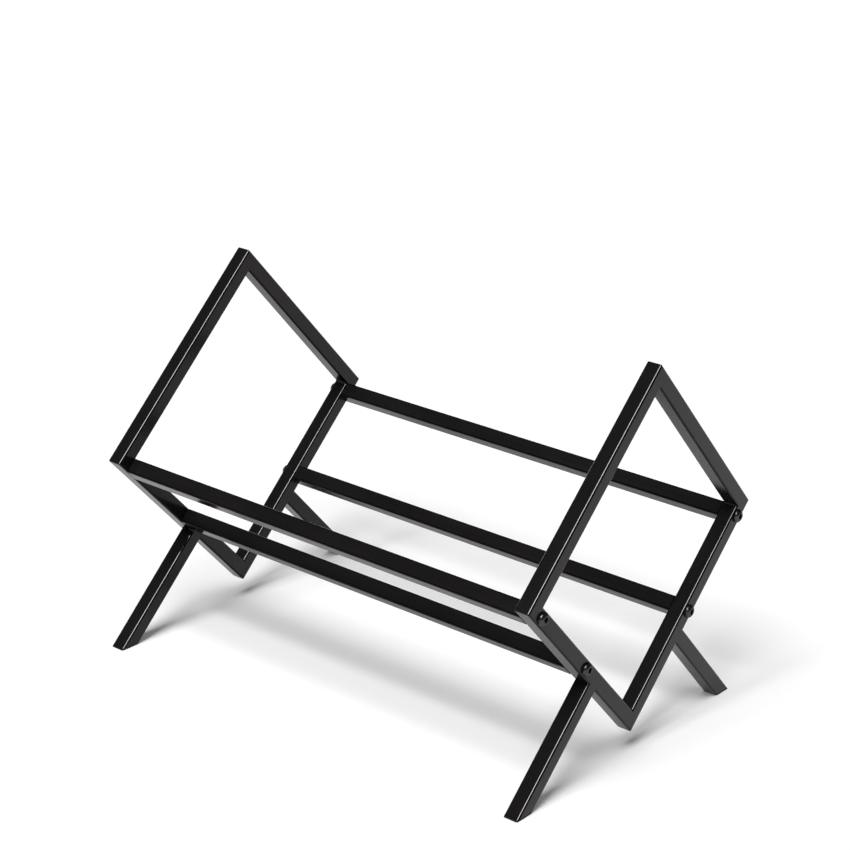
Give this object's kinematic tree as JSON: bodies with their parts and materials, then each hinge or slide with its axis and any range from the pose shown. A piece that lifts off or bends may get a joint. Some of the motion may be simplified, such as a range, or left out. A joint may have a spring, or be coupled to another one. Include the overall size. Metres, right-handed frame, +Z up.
{
  "type": "record storage stand",
  "caption": "Stand for a row of 12-inch records: square tube end frames standing on a corner, splayed legs, and crossbars that form a V-shaped cradle.",
  "frame": {"origin": "centre of the stand's footprint, on the floor", "axes": "+X along the row to the right, -Y to the front, +Z up"},
  "size_m": [0.4126, 0.29, 0.3064],
  "materials": {
    "black_powder_coat": "semi-gloss black powder coat on steel",
    "foot_plastic": "moulded black nylon",
    "zinc_steel": "zinc-plated steel",
    "black_steel": "black oxide steel"
  },
  "bodies": {
    "root": {"left_front_rail": "black_powder_coat", "left_rear_rail": "black_powder_coat", "right_front_rail": "black_powder_coat", "right_rear_rail": "black_powder_coat", "left_front_riser": "black_powder_coat", "left_rear_riser": "black_powder_coat", "right_front_riser": "black_powder_coat", "right_rear_riser": "black_powder_coat", "left_front_leg": "black_powder_coat", "left_rear_leg": "black_powder_coat", "right_front_leg": "black_powder_coat", "right_rear_leg": "black_powder_coat", "left_front_foot_plug": "foot_plastic", "left_rear_foot_plug": "foot_plastic", "right_front_foot_plug": "foot_plastic", "right_rear_foot_plug": "foot_plastic", "left_frame_welds": "black_powder_coat", "right_frame_welds": "black_powder_coat", "front_upper_bar": "black_powder_coat", "front_lower_bar": "black_powder_coat", "rear_upper_bar": "black_powder_coat", "rear_lower_bar": "black_powder_coat", "left_front_upper_insert": "zinc_steel", "left_front_lower_insert": "zinc_steel", "left_rear_upper_insert": "zinc_steel", "left_rear_lower_insert": "zinc_steel", "right_front_upper_insert": "zinc_steel", "right_front_lower_insert": "zinc_steel", "right_rear_upper_insert": "zinc_steel", "right_rear_lower_insert": "zinc_steel", "left_front_upper_screw": "black_steel", "left_front_lower_screw": "black_steel", "left_rear_upper_screw": "black_steel", "left_rear_lower_screw": "black_steel", "right_front_upper_screw": "black_steel", "right_front_lower_screw": "black_steel", "right_rear_upper_screw": "black_steel", "right_rear_lower_screw": "black_steel"}
  },
  "joints": []
}
